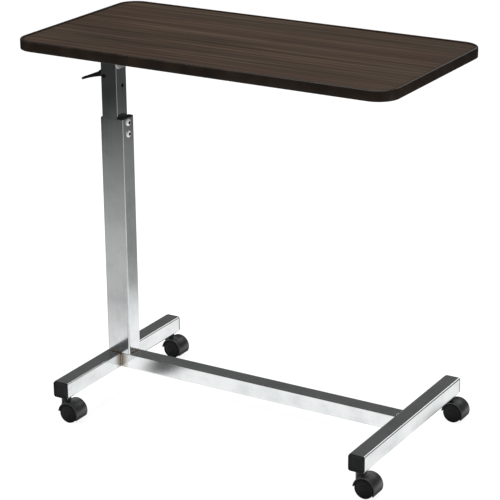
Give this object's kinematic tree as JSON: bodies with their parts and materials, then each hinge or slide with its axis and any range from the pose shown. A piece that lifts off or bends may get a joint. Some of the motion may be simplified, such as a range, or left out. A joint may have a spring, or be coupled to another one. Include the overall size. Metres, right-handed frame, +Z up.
{
  "type": "overbed table",
  "caption": "Height-adjustable overbed table: lipped walnut-laminate top on a telescopic chromed column at one end of an H-shaped base on twin-wheel casters.",
  "frame": {"origin": "on the floor under the middle of the tabletop", "axes": "+X along the tabletop, away from the column; +Y across it; +Z up"},
  "size_m": [0.762, 0.398, 0.736],
  "materials": {
    "chromed_tube": "chrome plate with fine brushing along the tube",
    "chromed_bracket": "chrome plate over pressed sheet",
    "weld_bead": "plated weld, slightly brown",
    "zinc_steel": "zinc plated",
    "blackened_steel": "black oxide, oiled",
    "polished_steel": "ground and polished",
    "painted_cylinder": "satin black paint",
    "black_plastic": "fine grained black plastic",
    "caster_body": "semi-gloss moulded nylon",
    "caster_wheel": "matt moulded nylon",
    "particle_board": "raw particle board",
    "walnut_laminate": "dark walnut-grain laminate, satin",
    "backer_laminate": "plain dark balancing sheet",
    "brown_moulding": "dark brown vinyl edging"
  },
  "bodies": {
    "base": {"column_end_bar": "chromed_tube", "free_end_bar": "chromed_tube", "spine": "chromed_tube", "base_welds": "weld_bead", "stem_sockets": "zinc_steel", "outer_column": "chromed_tube", "guide_block": "black_plastic", "guide_pad": "black_plastic", "guide_screws": "zinc_steel", "foot_stud": "zinc_steel", "foot_nut": "zinc_steel", "gas_spring_cylinder": "painted_cylinder", "gas_spring_gland": "polished_steel", "end_plug_column_front": "black_plastic", "end_plug_column_back": "black_plastic", "end_plug_free_front": "black_plastic", "end_plug_free_back": "black_plastic"},
    "mast": {"inner_column": "chromed_tube", "lower_glide": "black_plastic", "head_block": "zinc_steel", "head_screw": "blackened_steel", "gas_spring_rod": "polished_steel", "gas_spring_piston": "polished_steel", "lever_pivot": "blackened_steel", "mast_bracket": "chromed_bracket", "support_rail_front": "zinc_steel", "support_rail_back": "zinc_steel", "rail_screws": "zinc_steel", "board": "particle_board", "laminate": "walnut_laminate", "backer_sheet": "backer_laminate", "edge_moulding": "brown_moulding"},
    "lever": {"release_lever": "zinc_steel", "lever_grip": "black_plastic"},
    "release_pin": {"release_pin": "polished_steel"},
    "caster_column_front": {"caster_column_front_stem": "zinc_steel", "caster_column_front_hood": "caster_body", "caster_column_front_axle": "zinc_steel"},
    "wheel_column_front_front": {"caster_column_front_wheel_front": "caster_wheel"},
    "wheel_column_front_back": {"caster_column_front_wheel_back": "caster_wheel"},
    "caster_column_back": {"caster_column_back_stem": "zinc_steel", "caster_column_back_hood": "caster_body", "caster_column_back_axle": "zinc_steel"},
    "wheel_column_back_front": {"caster_column_back_wheel_front": "caster_wheel"},
    "wheel_column_back_back": {"caster_column_back_wheel_back": "caster_wheel"},
    "caster_free_front": {"caster_free_front_stem": "zinc_steel", "caster_free_front_hood": "caster_body", "caster_free_front_axle": "zinc_steel"},
    "wheel_free_front_front": {"caster_free_front_wheel_front": "caster_wheel"},
    "wheel_free_front_back": {"caster_free_front_wheel_back": "caster_wheel"},
    "caster_free_back": {"caster_free_back_stem": "zinc_steel", "caster_free_back_hood": "caster_body", "caster_free_back_axle": "zinc_steel"},
    "wheel_free_back_front": {"caster_free_back_wheel_front": "caster_wheel"},
    "wheel_free_back_back": {"caster_free_back_wheel_back": "caster_wheel"}
  },
  "joints": [
    {"name": "column_slide", "type": "slide", "parent": "base", "child": "mast", "axis": [0, 0, 1], "range_m": [-0.026, 0.355]},
    {"name": "lever_hinge", "type": "hinge", "parent": "mast", "child": "lever", "pos_m": [-0.30142, 0, 0.6376], "axis": [0, 1, 0], "range_deg": [0, 12], "stiffness_Nm_per_rad": 1, "springref_deg": -28.65},
    {"name": "pin_slide", "type": "slide", "parent": "mast", "child": "release_pin", "axis": [0, 0, -1], "range_m": [0, 0.0022]},
    {"name": "column_front_swivel", "type": "hinge", "parent": "base", "child": "caster_column_front", "pos_m": [-0.2998, -0.1815, 0.0486], "axis": [0, 0, 1], "continuous": true},
    {"name": "column_front_front_wheel_spin", "type": "hinge", "parent": "caster_column_front", "child": "wheel_column_front_front", "pos_m": [-0.2846, -0.1815, 0.01905], "axis": [0, 1, 0], "continuous": true},
    {"name": "column_front_back_wheel_spin", "type": "hinge", "parent": "caster_column_front", "child": "wheel_column_front_back", "pos_m": [-0.2846, -0.1815, 0.01905], "axis": [0, 1, 0], "continuous": true},
    {"name": "column_back_swivel", "type": "hinge", "parent": "base", "child": "caster_column_back", "pos_m": [-0.2998, 0.1815, 0.0486], "axis": [0, 0, 1], "continuous": true},
    {"name": "column_back_front_wheel_spin", "type": "hinge", "parent": "caster_column_back", "child": "wheel_column_back_front", "pos_m": [-0.2846, 0.1815, 0.01905], "axis": [0, 1, 0], "continuous": true},
    {"name": "column_back_back_wheel_spin", "type": "hinge", "parent": "caster_column_back", "child": "wheel_column_back_back", "pos_m": [-0.2846, 0.1815, 0.01905], "axis": [0, 1, 0], "continuous": true},
    {"name": "free_front_swivel", "type": "hinge", "parent": "base", "child": "caster_free_front", "pos_m": [0.3335, -0.1815, 0.0486], "axis": [0, 0, 1], "continuous": true},
    {"name": "free_front_front_wheel_spin", "type": "hinge", "parent": "caster_free_front", "child": "wheel_free_front_front", "pos_m": [0.3487, -0.1815, 0.01905], "axis": [0, 1, 0], "continuous": true},
    {"name": "free_front_back_wheel_spin", "type": "hinge", "parent": "caster_free_front", "child": "wheel_free_front_back", "pos_m": [0.3487, -0.1815, 0.01905], "axis": [0, 1, 0], "continuous": true},
    {"name": "free_back_swivel", "type": "hinge", "parent": "base", "child": "caster_free_back", "pos_m": [0.3335, 0.1815, 0.0486], "axis": [0, 0, 1], "continuous": true},
    {"name": "free_back_front_wheel_spin", "type": "hinge", "parent": "caster_free_back", "child": "wheel_free_back_front", "pos_m": [0.3487, 0.1815, 0.01905], "axis": [0, 1, 0], "continuous": true},
    {"name": "free_back_back_wheel_spin", "type": "hinge", "parent": "caster_free_back", "child": "wheel_free_back_back", "pos_m": [0.3487, 0.1815, 0.01905], "axis": [0, 1, 0], "continuous": true}
  ],
  "couplings": [
    {"joint": "pin_slide", "follows": "lever_hinge", "m_per_rad": 0.01}
  ]
}
